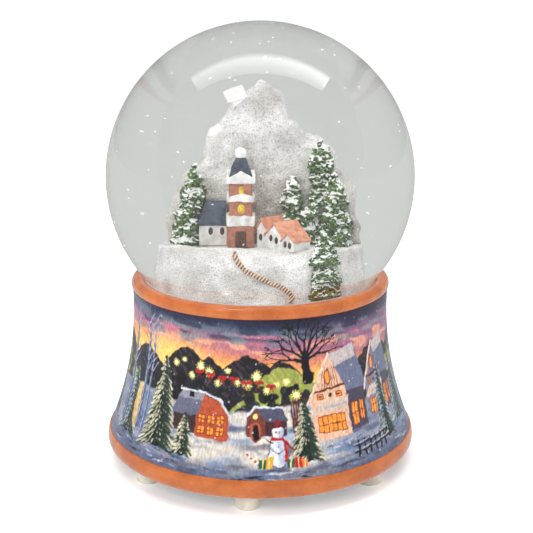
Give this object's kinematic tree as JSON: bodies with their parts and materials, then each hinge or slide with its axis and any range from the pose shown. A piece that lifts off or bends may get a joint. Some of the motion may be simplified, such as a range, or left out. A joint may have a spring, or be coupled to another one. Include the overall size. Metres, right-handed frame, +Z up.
{
  "type": "musical snow globe",
  "caption": "Water-filled glass ball with a snowy mountain village inside, seated on a flared glazed base with a painted winter scene and a wind-up musical movement.",
  "frame": {"origin": "on the table plane, on the vertical axis of the ball and the base", "axes": "+Z up, -Y the front where the church door faces, +X to the right seen from the front"},
  "size_m": [0.104, 0.104, 0.145],
  "materials": {
    "clear_glass": "clear polished",
    "water": "clear liquid",
    "glazed_rim": "orange-brown glaze",
    "picture": "printed winter village under lacquer",
    "black_plastic": "satin",
    "stopper_rubber": "moulded",
    "seal_silicone": "translucent",
    "ivory_rubber": "soft matte",
    "zinc_cast": "cast",
    "steel": "zinc plated",
    "spring_steel": "blued",
    "brass": "turned",
    "nickel": "plated",
    "white_nylon": "moulded",
    "snow_paint": "cast resin with sparkling white paint",
    "wall_paint": "white painted resin",
    "brick_paint": "brick red painted resin",
    "slate_paint": "slate blue painted resin",
    "tile_paint": "terracotta painted resin",
    "path_paint": "brown painted resin",
    "fir_paint": "dark green painted resin",
    "flake_plastic": "thin flakes"
  },
  "bodies": {
    "globe": {"base_shell": "glazed_rim", "bedplate": "zinc_cast", "bottom_plate": "black_plastic", "church_nave": "wall_paint", "church_tower": "brick_paint", "comb": "spring_steel", "comb_screws": "steel", "fir_behind_houses": "fir_paint", "fir_beside_houses": "fir_paint", "fir_left_low": "fir_paint", "fir_left_tall": "fir_paint", "fir_right_high": "fir_paint", "fir_right_low": "fir_paint", "fir_right_middle": "fir_paint", "foot_back": "ivory_rubber", "foot_back_left": "ivory_rubber", "foot_back_right": "ivory_rubber", "foot_front": "ivory_rubber", "foot_front_left": "ivory_rubber", "foot_front_right": "ivory_rubber", "glass_globe": "clear_glass", "globe_seal": "seal_silicone", "globe_stopper": "stopper_rubber", "governor_frame": "nickel", "house_lower": "wall_paint", "house_middle": "wall_paint", "house_roof_lower": "tile_paint", "house_roof_middle": "tile_paint", "house_roof_upper": "tile_paint", "house_upper": "wall_paint", "mainspring": "spring_steel", "mountain": "snow_paint", "movement_screws": "steel", "nave_roof": "slate_paint", "picture_wrap": "picture", "plate_screws": "steel", "small_screws": "steel", "snow_flakes": "flake_plastic", "snow_hill": "snow_paint", "spring_case": "nickel", "stair_path": "path_paint", "tower_bands": "wall_paint", "tower_roof": "slate_paint", "water": "water"},
    "key": {"winding_arbor": "steel", "winding_key": "nickel"},
    "great_wheel": {"main_gear": "brass"},
    "drum": {"drum": "brass"},
    "governor": {"governor_wheel": "brass"},
    "fly": {"governor_fly": "white_nylon"}
  },
  "joints": [
    {"name": "key_wind", "type": "hinge", "parent": "globe", "child": "key", "pos_m": [0, 0, 0.012], "axis": [0, 0, 1], "range_deg": [0, 1800], "deforming": ["mainspring"]},
    {"name": "great_wheel_spin", "type": "hinge", "parent": "globe", "child": "great_wheel", "pos_m": [0, 0, 0.0221], "axis": [0, 0, 1], "continuous": true},
    {"name": "drum_spin", "type": "hinge", "parent": "globe", "child": "drum", "pos_m": [0.02, 0, 0.027], "axis": [1, 0, 0], "continuous": true},
    {"name": "governor_spin", "type": "hinge", "parent": "globe", "child": "governor", "pos_m": [0.022, 0.013, 0.027], "axis": [1, 0, 0], "continuous": true},
    {"name": "fly_spin", "type": "hinge", "parent": "globe", "child": "fly", "pos_m": [0.022, 0.0195, 0.027], "axis": [0, 0, 1], "continuous": true}
  ],
  "couplings": [
    {"joint": "drum_spin", "follows": "great_wheel_spin", "ratio": 3},
    {"joint": "governor_spin", "follows": "great_wheel_spin", "ratio": -9},
    {"joint": "fly_spin", "follows": "great_wheel_spin", "ratio": 144}
  ]
}
